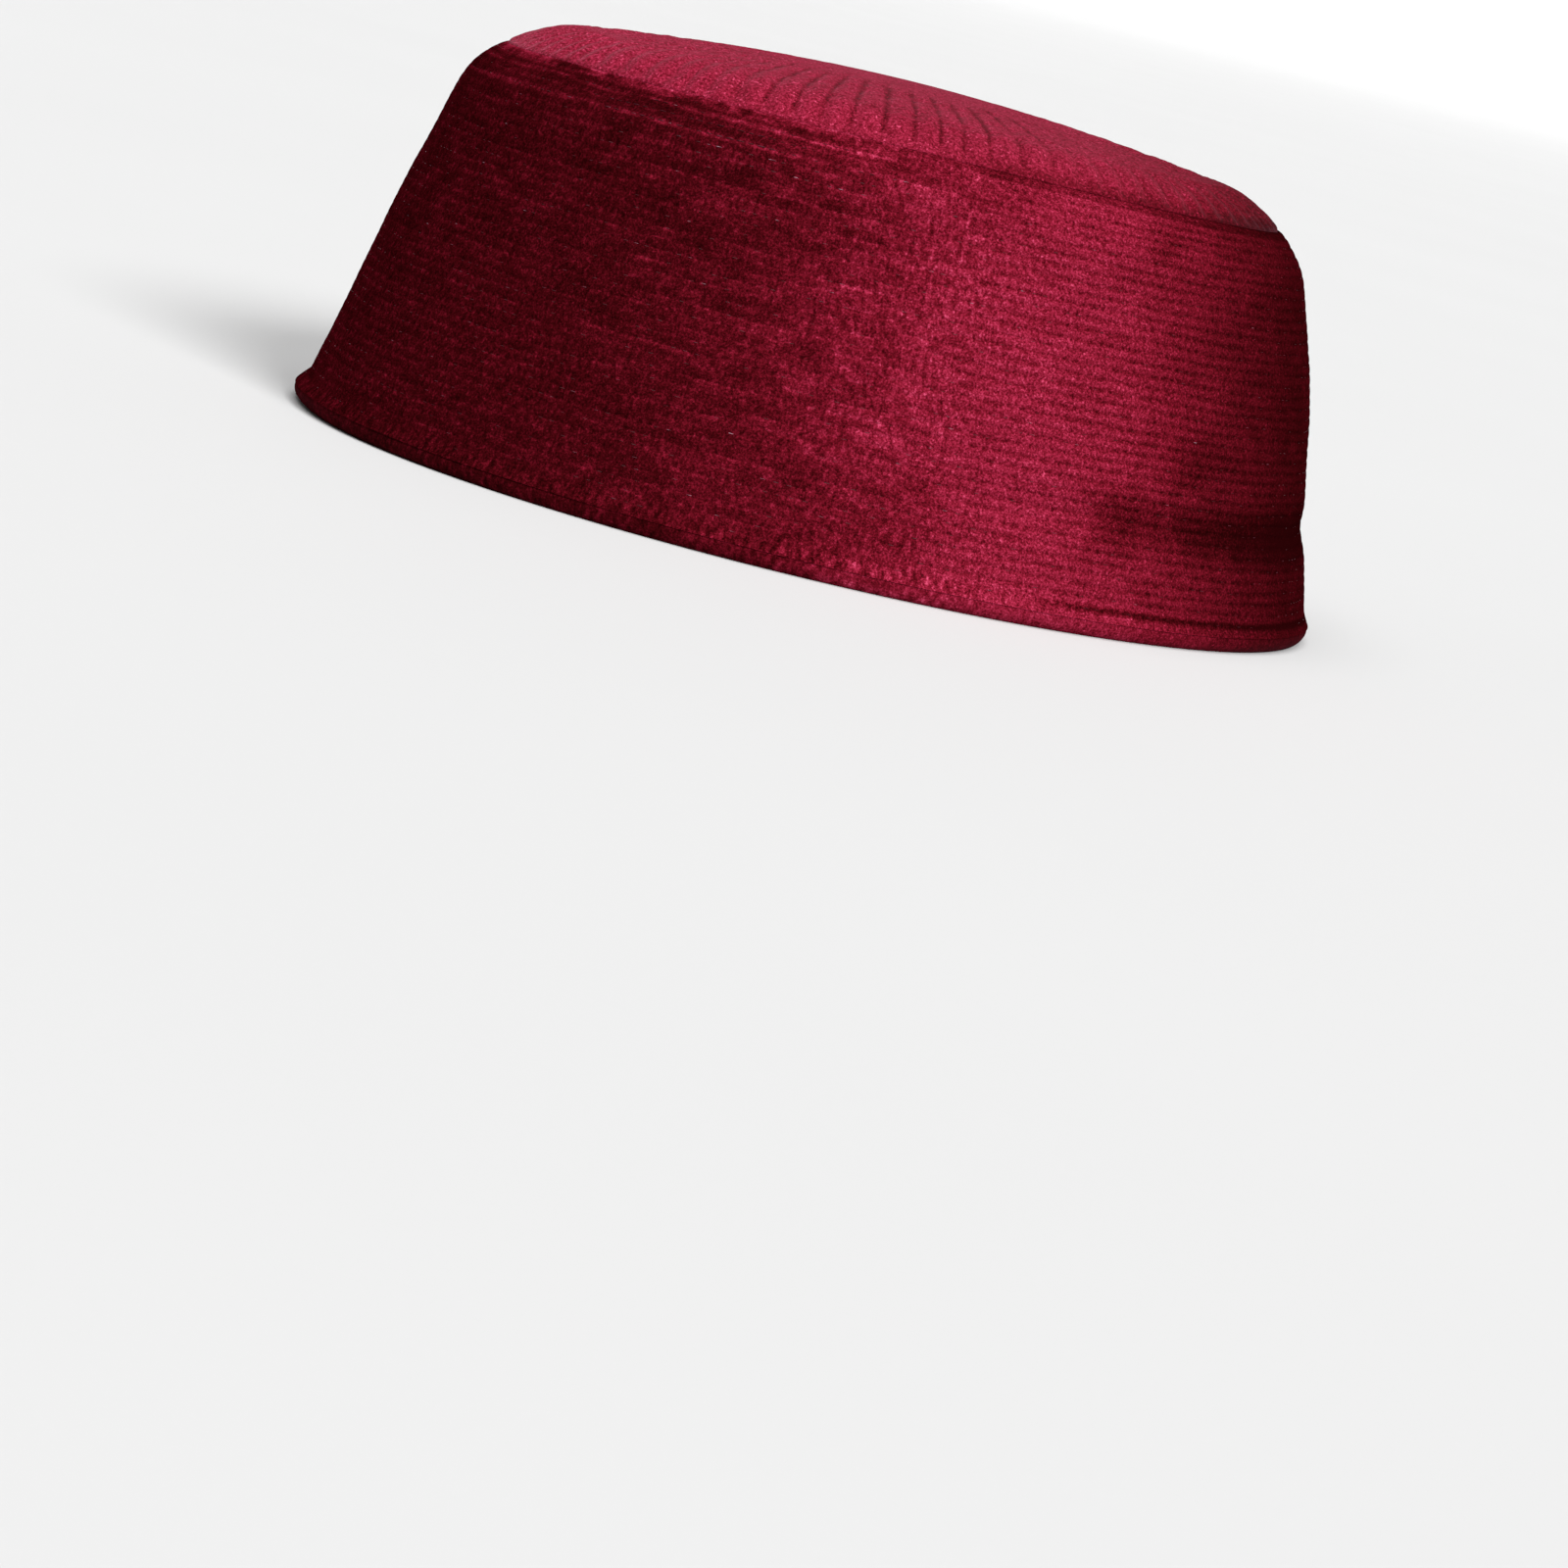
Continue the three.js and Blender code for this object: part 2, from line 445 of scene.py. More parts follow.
        # ragged tufts, painted shade along the line where the crown is sewn in, and painted shade at the
        # hem's own seam at the nape
        tufts = (patches * 6 + 0.55).clamped() * lengthwise.eased(*rowPile["tuftsUpTo"])
        tone = tone + rowCount.eased(*look["tuftRows"]) * tufts * look["tuftBright"]
        seam = rowCount.eased(*look["seamRows"]) * lengthwise.eased(*rowPile["seamFrom"])
        tone = tone - seam * look["seamPaintedShade"]
        hem = rowCount.near(1, rowPile["hemReach"]) * lengthwise.eased(*rowPile["hemFrom"])
        tone = tone - hem * look["hemPaintedShade"]
        pile = pile - groove * rowPile["grooveDepth"] - hole * rowPile["holeDepth"]
        # painted shade in the crease low on the nape, and a few soft spots of painted shade, where a
        # negative value paints light instead
        crease = height.near(look["creaseHeight"], look["creaseReach"])
        tone = tone - crease * lengthwise.eased(*rowPile["creaseFrom"]) * look["creasePaintedShade"]
        for spot in look["paintedShadeSpots"]:
            soft = x.near(spot["x"], spot["reach"]) * height.near(spot["height"], spot["reach"])
            tone = tone - soft * spot["paintedShade"]
    if look["sewn"] == "lines":
        # the crown's channels get painted shade, fainter over the forehead and again towards the nape
        fromLine = stitchCount.distanceFromWhole() * look["linePitch"]
        fromLine = fromLine * (rowCount * look["rowReach"] / look["halfLength"])
        drawn = rowCount.eased(*look["lineFade"]) * rowCount.eased(*look["seamFade"])
        fainter = lengthwise.eased(*linePile["fainterFrom"]) * linePile["fainter"]
        drawn = drawn * lengthwise.eased(*linePile["drawnFrom"]) * (1 - fainter)
        broken = place.speckled(260, 2, 3, 0.8)
        groove = (1 - fromLine / look["grooveWidth"]).clamped() * drawn * broken
        seam = rowCount.eased(*look["seamRows"]) * lengthwise.eased(*linePile["seamFrom"])
        tone = tone - groove * look["groovePaintedShade"] - seam * look["seamPaintedShade"]
        pile = pile - groove * linePile["grooveDepth"]
    colour = tone.ramp(velvetStops)
    bump = flow.node("ShaderNodeBump", {}, {
        "Strength": velvet["bump"], "Distance": velvet["bumpDepth"], "Height": pile,
    })
    shader = flow.node("ShaderNodeBsdfPrincipled", {}, {
        "Base Color": colour,
        "Roughness": (velvet["roughness"] + grain * 0.4).clamped(),
        "Specular IOR Level": 0.0,
        "Sheen Weight": look["sheen"],
        "Sheen Roughness": 0.4,
        "Sheen Tint": velvet["sheenTint"],
        "Normal": bump,
    })
    flow.node("ShaderNodeOutputMaterial", {}, {"Surface": shader})
    return material


def backingMaterial():
    material, flow = newMaterial("backingCloth")
    place = flow.node("ShaderNodeTexCoord", {}, {}, "Object")
    weave = place.stretched((1, 1, 0.5)).noiseAt(1800, 1)
    fading = place.noiseAt(30, 3)
    stops = [(0.3, (0.055, 0.003, 0.010)), (0.7, (0.12, 0.010, 0.024))]
    colour = (weave * 0.5 + fading * 0.5 + 0.5).ramp(stops)
    bump = flow.node("ShaderNodeBump", {}, {"Strength": 0.4, "Distance": 0.15 * mm, "Height": weave})
    shader = flow.node("ShaderNodeBsdfPrincipled", {}, {
        "Base Color": colour, "Roughness": 0.9, "Specular IOR Level": 0.1, "Normal": bump,
    })
    flow.node("ShaderNodeOutputMaterial", {}, {"Surface": shader})
    return material


def threadMaterial():
    material, flow = newMaterial("sewingThread")
    place = flow.node("ShaderNodeTexCoord", {}, {}, "Object")
    # the thread's colour wanders, and its palest, grey-pink stop paints glints of light on a few stitches
    wearAndPaintedGlints = place.noiseAt(430, 2) + 0.5
    stops = [
        (0.52, (0.04, 0.0014, 0.004)),
        (0.64, (0.11, 0.020, 0.036)),
        (0.74, (0.34, 0.21, 0.26)),
    ]
    shader = flow.node("ShaderNodeBsdfPrincipled", {}, {
        "Base Color": wearAndPaintedGlints.ramp(stops), "Roughness": 0.5, "Specular IOR Level": 0.25,
    })
    flow.node("ShaderNodeOutputMaterial", {}, {"Surface": shader})
    return material


stitch = {
    "width": 0.2 * mm,
    "length": 0.8,  # of the pitch; the rest is the gap between two stitches
    "rowOffset": 0.618,  # each row's stitches start this share of a pitch further round
    "sink": 0.14 * mm,
    "lowest": -0.18 * mm,
    "highest": 0.0 * mm,
    "seed": 5,
    "crushedLift": 0.16 * mm,  # they stand prouder on a few rows below the crown, forward of the ear
    "crushedRow": 34.5,
    "crushedRowReach": 2,
    "crushedX": -35 * mm,
    "crushedXReach": 25 * mm,
    "crownPitch": 2.3 * mm,
}

# the band's nap with painted light and shade: dark at the forehead, brightest where the key light falls,
# painted shade again at the nape
bandNapAndPaintedShading = [
    (0.03, 0.19), (0.2, 0.175), (0.3, 0.2), (0.4, 0.29), (0.5, 0.4), (0.6, 0.59),
    (0.7, 0.61), (0.78, 0.575), (0.86, 0.44), (0.92, 0.28), (0.97, 0.14),
]
bandVelvet = velvetMaterial("bandVelvet", {
    "halfLength": 104.2 * mm, "taper": 0.26, "sewn": "rows",
    "napAndPaintedShading": bandNapAndPaintedShading,
    "rowPitch": 2.1, "stitchPitch": 2.1, "rowReach": 2.1 * mm,
    "grooveWidth": 1.05, "groovePaintedShade": 0.11,
    "holeWidth": 0.55, "holeLength": 0.85, "holePaintedShade": 0.13,
    "crushWander": 0.36, "streakWander": 0.46, "patches": 0.12, "streaks": 0.28,
    "footCalm": 0.35, "dashes": 0.45, "dashSize": (2.3, 0.9, 1), "footDashes": 1.2,
    "grainScale": 2400, "grain": 1.38, "paintedGlints": 1.2,
    "specksPaintedHighlight": 0.2, "ridgeRows": (30, 36), "ridgePaintedHighlight": 0.24, "channelPaintedShade": 0.02,
    "tuftRows": (36.2, 37.6), "tuftBright": 0.34, "seamRows": (36.5, 37.6), "seamPaintedShade": 0.17,
    "hemPaintedShade": 0.3,
    "creaseHeight": 21.5 * mm, "creaseReach": 7.5 * mm, "creasePaintedShade": 0.26,
    # soft spots of painted shade; the one with a negative value is painted light
    "paintedShadeSpots": [
        {"x": 70 * mm, "height": 33 * mm, "reach": 9 * mm, "paintedShade": 0.14},
        {"x": 57 * mm, "height": 21.5 * mm, "reach": 9 * mm, "paintedShade": 0.19},
        {"x": 8 * mm, "height": 7 * mm, "reach": 26 * mm, "paintedShade": 0.08},
        {"x": 20 * mm, "height": 74 * mm, "reach": 16 * mm, "paintedShade": 0.08},
        {"x": 76 * mm, "height": 74 * mm, "reach": 12 * mm, "paintedShade": -0.06},
        {"x": 55 * mm, "height": 72 * mm, "reach": 6 * mm, "paintedShade": 0.09},
        {"x": 0 * mm, "height": 60 * mm, "reach": 12 * mm, "paintedShade": 0.06},
        {"x": 18 * mm, "height": 15 * mm, "reach": 13 * mm, "paintedShade": 0.09},
    ],
    "sheen": 0.0,
})
crownVelvet = velvetMaterial("crownVelvet", {
    "halfLength": 78 * mm, "taper": 0, "sewn": "lines",
    # the crown's nap with painted light, falling to painted shade towards the nape
    "napAndPaintedShading": [(0.0, 0.615), (0.5, 0.595), (0.75, 0.575), (0.87, 0.48), (0.95, 0.32), (1.0, 0.2)],
    "rowReach": 2.6 * mm, "linePitch": 5.0, "lineFade": (11, 17), "seamFade": (29.6, 28.8),
    "grooveWidth": 0.62, "groovePaintedShade": 0.27, "seamRows": (29.0, 29.8), "seamPaintedShade": 0.13,
    "crushWander": 0.3, "streakWander": 0.1, "patches": 0.2, "streaks": 0.0,
    "footCalm": 0, "dashes": 0.0, "dashSize": (2.3, 0.9, 1), "footDashes": 0,
    "grainScale": 1900, "grain": 1.25, "paintedGlints": 2.0,
    "sheen": 0.15,
})
rimVelvet = velvetMaterial("rimVelvet", {
    "halfLength": 104.2 * mm, "taper": 0.26, "sewn": "plain",
    "napAndPaintedShading": bandNapAndPaintedShading,
    "rowReach": 2.1 * mm,
    "crushWander": 0.5, "streakWander": 0.3, "patches": 0.22, "streaks": 0.1,
    "footCalm": 0, "dashes": 0.8, "dashSize": (2.3, 1.5, 1), "footDashes": 0,
    "grainScale": 2400, "grain": 1.1, "paintedGlints": 0.8,
    "sheen": 0.02,
})
backingCloth = backingMaterial()
sewingThread = threadMaterial()
print("materials made")


band = {
    "rows": 38,
    "samplesPerRow": 6,
    "steps": 288,
    "stitchesAround": 250,
    "grooveDepth": 0.13 * mm,
    "boldestX": 65 * mm,  # the rows show most here and least at the forehead
    "boldReach": 55 * mm,
    "puffShape": 0.65,  # under 1 keeps the cloth full almost to the row
    "coarseScale": 80,
    "coarseUneven": 0.6,
    "fineScale": 260,
    "fineUneven": 0.4,
    "wobble": 0.4 * mm,
    "wobbleScale": 60,
    "wobbleFade": 12,
    "innerSamples": 30,
    "footSamples": 9,
    "footLap": 2.2 * mm,  # the outside reaches down over the rim this far
    "footFlare": 0.74 * mm,
    "flareShape": 1.3,
    "flareReach": 3 * mm,
    "footGap": 0.04 * mm,
    "footRise": 0.5 * mm,  # and the inside stops this much higher than square, clear of the rim
}


def bandPoint(along, depth):
    lean = capForm["bandLean"]
    if along < capForm["wallLength"]:
        x = bandHigh.x - along * math.sin(lean) - depth * math.cos(lean)
        return x, bandLow.z + along * math.cos(lean) - depth * math.sin(lean)
    turn = lean + (along - capForm["wallLength"]) / capForm["shoulderRadius"]
    radius = capForm["shoulderRadius"] - depth
    return capForm["shoulderX"] + radius * math.cos(turn), capForm["shoulderZ"] + radius * math.sin(turn)


# The band's closed section: up the outside, over the sewn edge, down the inside, round the foot
def bandProfile():
    turned = capForm["shoulderTurn"] - capForm["bandLean"]
    length = capForm["wallLength"] + capForm["shoulderRadius"] * turned
    count = band["rows"] * band["samplesPerRow"]
    profile = []
    for i in range(count + 1):
        along = length * i / count - band["footLap"] * (1 - i / count)
        x, z = bandPoint(along, 0)
        fromFoot = min(1, (along + band["footLap"]) / band["flareReach"])
        x += band["footFlare"] * (1 - fromFoot) ** band["flareShape"]
        profile.append((x, z, i / band["samplesPerRow"]))
    thickness = capForm["bandThickness"]
    innerTurn = math.acos(
        (capForm["seamHalfLength"] - capForm["shoulderX"]) / (capForm["shoulderRadius"] - thickness)
    )
    innerLength = capForm["wallLength"] + (innerTurn - capForm["bandLean"]) * capForm["shoulderRadius"]
    for share in (0.4, 0.8):
        x, z = profile[count][:2]
        profile.append((x, z - thickness * share, band["rows"]))
    for i in range(band["innerSamples"], -1, -1):
        along = band["footRise"] + (innerLength - band["footRise"]) * i / band["innerSamples"]
        profile.append((*bandPoint(along, thickness), along / length * band["rows"]))
    # the foot is hollowed to sit round the bead of the rim
    reach = capForm["beadRadius"] + band["footGap"]
    outside = profile[0]
    inside = profile[-1]
    for i in range(band["footSamples"]):
        share = (i + 0.5) / band["footSamples"]
        x = outside[0] + (inside[0] - outside[0]) * (1 - share)
        fromMiddle = x - capForm["beadMiddle"]
        z = capForm["beadHeight"] + math.sqrt(max(0, reach * reach - fromMiddle * fromMiddle))
        profile.append((x, z, 0))
    return profile, count


# Pulls the cloth in along each sewn row and lets it stand fuller, unevenly, between the rows
def quiltRows(bm, outerCount):
    ringLayer = bm.verts.layers.int["ring"]
    bm.normal_update()
    moves = []
    for vert in bm.verts:
        ring = vert[ringLayer]
        if ring > outerCount:
            continue
        phase = ring / band["samplesPerRow"]
        place = vert.co
        puff = abs(math.sin(math.pi * phase)) ** band["puffShape"]
        fullness = (
            0.9 + band["coarseUneven"] * noise.noise(place * band["coarseScale"])
            + band["fineUneven"] * noise.noise(place * band["fineScale"])
        )
        nearFoot = min(1, max(0, phase - 1.2))
        boldness = 0.4 + 0.6 * math.exp(-((place.x - band["boldestX"]) / band["boldReach"]) ** 2)
        relief = band["grooveDepth"] * (puff * fullness - 1) * nearFoot * boldness
        swayPlace = (place.x * band["wobbleScale"], place.y * band["wobbleScale"], phase * 0.35)
        sway = band["wobble"] * noise.noise(Vector(swayPlace))
        sway *= min(1, ring / band["wobbleFade"], (outerCount - ring) / band["wobbleFade"])
        moves.append((vert, vert.normal * relief + Vector((0, 0, sway))))
    for vert, move in moves:
        vert.co += move


def makeBand():
    profile, outerCount = bandProfile()
    bm = spinCloth(profile, band["steps"])
    addClothMap(bm, band["stitchesAround"])
    quiltRows(bm, outerCount)
    ringLayer = bm.verts.layers.int["ring"]
    for edge in bm.edges:
        # a crisp edge where the foot turns under
        edge.smooth = any(vert[ringLayer] for vert in edge.verts)
    for face in bm.faces:
        rings = [vert[ringLayer] for vert in face.verts]
        inner = min(rings) > outerCount and max(rings) <= outerCount + 3 + band["innerSamples"]
        face.material_index = 1 if inner else 0
    return finishPiece(bm, "sideBandQuilted", [bandVelvet, backingCloth])


crown = {
    "lines": 86,
    "samplesPerLine": 4,
    "outerSamples": 42,
    "innerSamples": 9,
    "mapPitch": 2.6 * mm,
    "fan": 0.5,  # 1 would draw every line straight to the middle
    "fanReach": 0.65,
    "skew": 0.033,
    "unevenness": 0.008,
    "unevenWaves": [(11, 0.7), (17, 2)],  # waves round the edge and where each starts
    "edgeFullness": 0.19 * mm,  # the turned-down edge fills out towards the band
    "edgeTurn": 0.8 * mm,
    "ringSpread": 1.3,  # over 1 sets the rings closer together at the edge
    "plainEdge": 1.2 * mm,
    "shortLineShare": 0.5,
    "longLineShare": 0.24,
    "lineFade": 0.12,
    "pinnedStrength": 0.3,
    "puff": 0.3 * mm,
    "puffShape": 0.7,
    "sewnDepth": 0.2 * mm,
    "frames": 20,
    "pressure": 4,
    "slack": 0.04,
    "mostRise": 0.35 * mm,
    "riseReach": 0.5,  # and less within this share of the half-length of where the long lines stop
}


# The sewn lines start nearly square to the oval edge, a little unevenly, and draw together inwards
def crownFan(angle, halfLength):
    inwards = min(crown["fanReach"], 1 - halfLength / capForm["crownHalfLength"])
    x = math.cos(angle) * (1 - crown["fan"] * inwards) - crown["skew"] * inwards
    y = math.sin(angle) * (1 - inwards)
    uneven = sum(math.sin(angle * count + start) for count, start in crown["unevenWaves"])
    return math.atan2(y, x) + crown["unevenness"] * uneven


def crownHeight(halfLength):
    share = halfLength / capForm["crownHalfLength"]
    fromEdge = (capForm["crownHalfLength"] - halfLength) / capForm["crownRollWidth"]
    rise = crownHigh.z - capForm["seamHeight"] - capForm["crownRollHeight"]
    roll = capForm["crownRollHeight"] * (1 - max(0, 1 - fromEdge) ** 2)
    return capForm["seamHeight"] + roll + rise * (1 - share * share)


# The crown's section from its turned-down edge over the top to the middle, and back underneath
def crownProfile():
    edge = capForm["crownHalfLength"]
    insideEdge = edge - capForm["crownThickness"]
    fullEdge = edge + crown["edgeFullness"]
    outer = [(fullEdge, crownLow.z), (fullEdge, capForm["seamHeight"] - crown["edgeTurn"])]
    for i in range(crown["outerSamples"] + 1):
        halfLength = edge * (1 - (i / crown["outerSamples"]) ** crown["ringSpread"])
        outer.append((halfLength, crownHeight(halfLength)))
    inner = [(insideEdge, crownLow.z)]
    for i in range(crown["innerSamples"] + 1):
        halfLength = insideEdge * (1 - (i / crown["innerSamples"]) ** crown["ringSpread"])
        inner.append((halfLength, crownHeight(halfLength) - capForm["crownThickness"]))
    outer = [(x, z, x / crown["mapPitch"]) for x, z in outer]
    inner = [(x, z, x / crown["mapPitch"]) for x, z in inner]
    return outer + inner[::-1], len(outer)


# Where a sewn line is still drawn, from 0 to 1: every second one stops half way to the middle
def lineStrength(lineNumber, halfLength):
    share = halfLength / capForm["crownHalfLength"]
    stop = crown["shortLineShare"] if lineNumber % 2 else crown["longLineShare"]
    fromSeam = (capForm["crownHalfLength"] - halfLength) / crown["plainEdge"]
    return min(1, max(0, (share - stop) / crown["lineFade"])) * min(1, max(0, fromSeam))


# The sewn lines are pulled in a little and the cloth between them starts slightly full
def quiltCrown(bm, profile, outerCount):
    ringLayer = bm.verts.layers.int["ring"]
    turnLayer = bm.verts.layers.float["turn"]
    bm.normal_update()
    moves = []
    for vert in bm.verts:
        ring = vert[ringLayer]
        if ring >= outerCount or ring < 2 or isPole(vert):
            continue
        phase = vert[turnLayer] * crown["lines"]
        lower = math.floor(phase + 1e-4)
        part = min(1, max(0, phase - lower))
        halfLength = profile[ring][0]
        first = lineStrength(lower, halfLength)
        second = lineStrength(lower + 1, halfLength)
        pulled = first * max(0, 1 - part * 4) + second * max(0, part * 4 - 3)
        width = halfLength / capForm["crownHalfLength"]
        full = math.sin(math.pi * part) ** crown["puffShape"] * (first + second) / 2 * width
        moves.append((vert, vert.normal * (crown["puff"] * full - crown["sewnDepth"] * pulled)))
    for vert, move in moves:
        vert.co += move


# Lets the quilted cloth swell between its sewn lines, which are pinned with the edge and the underside
def swellCrown(piece, profile, outerCount):
    mesh = piece.data
    count = len(mesh.vertices)
    ring = np.zeros(count, np.int32)
    turn = np.zeros(count, np.float32)
    start = np.zeros(count * 3, np.float32)
    mesh.attributes["ring"].data.foreach_get("value", ring)
    mesh.attributes["turn"].data.foreach_get("value", turn)
    mesh.vertices.foreach_get("co", start)
    column = np.round(turn * crown["lines"] * crown["samplesPerLine"]).astype(int)
    sewn = piece.vertex_groups.new(name="sewn")
    loose = piece.vertex_groups.new(name="loose")
    for index in range(count):
        onLine = column[index] % crown["samplesPerLine"] == 0
        lineNumber = column[index] // crown["samplesPerLine"]
        strength = lineStrength(lineNumber, profile[min(ring[index], outerCount - 1)][0])
        fixed = ring[index] < 3 or ring[index] >= outerCount - 1
        fixed = fixed or (onLine and strength > crown["pinnedStrength"])
        (sewn if fixed else loose).add([index], 1, "REPLACE")
    cloth = piece.modifiers.new("swell", "CLOTH")
    cloth.settings.vertex_group_mass = "sewn"
    cloth.settings.use_pressure = True
    cloth.settings.uniform_pressure_force = crown["pressure"]
    cloth.settings.shrink_min = -crown["slack"]
    cloth.settings.effector_weights.gravity = 0
    cloth.collision_settings.use_collision = False
    for frameNumber in range(1, crown["frames"] + 1):
        bpy.context.scene.frame_set(frameNumber)
    swollen = piece.evaluated_get(bpy.context.evaluated_depsgraph_get()).data
    end = np.zeros(count * 3, np.float32)
    swollen.vertices.foreach_get("co", end)
    move = (end - start).reshape(-1, 3)
    length = np.linalg.norm(move, axis=1)
    print("crown cloth moved up to", round(float(length.max()) / mm, 2), "mm, capped")
    halfLengths = np.array([profile[min(number, outerCount - 1)][0] for number in ring])
    share = halfLengths / capForm["crownHalfLength"]
    outwards = (share - crown["longLineShare"]) / crown["riseReach"]
    most = crown["mostRise"] * np.clip(outwards, 0, 1)
    move *= np.minimum(1, most / np.maximum(length, 1e-9))[:, None]
    piece.modifiers.remove(cloth)
    piece.vertex_groups.clear()
    bpy.context.scene.frame_set(1)
    mesh.vertices.foreach_set("co", (start.reshape(-1, 3) + move).ravel())
    mesh.update()


def makeCrown():
    profile, outerCount = crownProfile()
    bm = spinCloth(profile, crown["lines"] * crown["samplesPerLine"], crownFan)
    addClothMap(bm, crown["lines"])
    quiltCrown(bm, profile, outerCount)
    ringLayer = bm.verts.layers.int["ring"]
    for face in bm.faces:
        face.material_index = 1 if min(vert[ringLayer] for vert in face.verts) >= outerCount else 0
    piece = finishPiece(bm, "crownTopQuilted", [crownVelvet, backingCloth])
    swellCrown(piece, profile, outerCount)
    return piece, outerCount


rim = {
    "samples": 30,
    "steps": 288,
    "mapRows": 4,
    "lumps": 0.12 * mm,
    "lumpScale": 90,
    "lumpsBottom": 0.3 * mm,  # the underside stays flat
    "lumpsFull": 1.5 * mm,
    "lumpsTop": 2.6 * mm,
    "topFade": 1 * mm,
}


def makeRim():
    radius = capForm["beadRadius"]
    flatAngle = math.asin(capForm["beadHeight"] / radius)
    profile = []
    for i in range(rim["samples"] + 1):
        angle = -flatAngle + (math.pi + 2 * flatAngle) * i / rim["samples"]
        x = capForm["beadMiddle"] + radius * math.cos(angle)
        z = max(0, capForm["beadHeight"] + radius * math.sin(angle))
        profile.append((x, z, i / rim["samples"] * rim["mapRows"]))
    bm = spinCloth(profile, rim["steps"])
    addClothMap(bm, band["stitchesAround"])
    bm.normal_update()
    for vert in bm.verts:
        if rim["lumpsBottom"] < vert.co.z < rim["lumpsTop"]:
            fromTop = (rim["lumpsTop"] - vert.co.z) / rim["topFade"]
            fading = min(1, vert.co.z / rim["lumpsFull"], fromTop)
            lump = noise.noise(vert.co * rim["lumpScale"])
            vert.co += vert.normal * (rim["lumps"] * fading * lump)
    return finishPiece(bm, "rolledRimVelvet", [rimVelvet])


bandPiece = makeBand()
print("side band", len(bandPiece.data.polygons), "faces")
crownPiece, crownOuterCount = makeCrown()
print("crown", len(crownPiece.data.polygons), "faces")
rimPiece = makeRim()
print("rim", len(rimPiece.data.polygons), "faces")


# The places and normals of some rings of a spun piece, ring by ring and step by step
def ringGrid(piece, rings, steps):
    mesh = piece.data
    count = len(mesh.vertices)
    ring = np.zeros(count, np.int32)
    turn = np.zeros(count, np.float32)
    mesh.attributes["ring"].data.foreach_get("value", ring)
    mesh.attributes["turn"].data.foreach_get("value", turn)
    places = np.zeros(count * 3, np.float32)
    normals = np.zeros(count * 3, np.float32)
    mesh.vertices.foreach_get("co", places)
    mesh.vertex_normals.foreach_get("vector", normals)
    order = np.lexsort((np.round(turn * steps) % steps, ring))
    kept = order[np.isin(ring[order], rings)]
    shape = (len(rings), steps, 3)
    return places.reshape(-1, 3)[kept].reshape(shape), normals.reshape(-1, 3)[kept].reshape(shape)


def stitchTemplate():
    bm = bmesh.new()
    bmesh.ops.create_cone(
        bm, cap_ends=True, segments=3, radius1=0.5, radius2=0.5, depth=1,
        matrix=Matrix.Rotation(math.pi / 2, 4, "Y"),
    )
    long = [edge for edge in bm.edges if abs(edge.verts[0].co.x - edge.verts[1].co.x) > 0.5]
    bmesh.ops.subdivide_edges(bm, edges=long, cuts=2)
    bmesh.ops.triangulate(bm, faces=bm.faces)
    for vert in bm.verts:
        taper = 1 - 1.2 * vert.co.x * vert.co.x
        vert.co.y *= taper
        vert.co.z *= taper
    bmesh.ops.recalc_face_normals(bm, faces=bm.faces)
    bm.verts.index_update()
    places = np.array([vert.co[:] for vert in bm.verts])
    faces = np.array([[vert.index for vert in face.verts] for face in bm.faces])
    bm.free()
    return places, faces


# Joins one stitch for each start and end point, lying on the cloth whose normal is given.
# Most sink into the pile, and a few stand proud enough to catch the light.
def joinStitches(name, starts, ends, normals, lifts=0):
    template, faces = stitchTemplate()
    starts, ends, normals = (np.asarray(rows, float) for rows in (starts, ends, normals))
    count = len(starts)
    forward = ends - starts
    middle = (starts + ends) / 2
    normals = normals / np.linalg.norm(normals, axis=1)[:, None]
    across = np.cross(normals, forward)
    across /= np.linalg.norm(across, axis=1)[:, None]
    draws = np.random.default_rng(stitch["seed"])
    rise = draws.uniform(stitch["lowest"], stitch["highest"], count) + lifts
    level = rise[:, None] - (template[None, :, 0] * 2) ** 2 * stitch["sink"]
    places = (
        middle[:, None, :]
        + forward[:, None, :] * template[None, :, 0, None]
        + across[:, None, :] * (template[None, :, 1, None] * stitch["width"])
        + normals[:, None, :] * (template[None, :, 2, None] * stitch["width"] + level[:, :, None])
    )
    allFaces = faces[None, :, :] + (np.arange(count) * len(template))[:, None, None]
    mesh = bpy.data.meshes.new(name)
    mesh.from_pydata(places.reshape(-1, 3).tolist(), [], allFaces.reshape(-1, 3).tolist())
    mesh.materials.append(sewingThread)
    piece = bpy.data.objects.new(name, mesh)
    bpy.context.scene.collection.objects.link(piece)
    return piece


def pointsAround(line, steps):
    low = np.floor(steps).astype(int)
    part = (steps - low)[:, None]
    return line[low % len(line)] * (1 - part) + line[(low + 1) % len(line)] * part


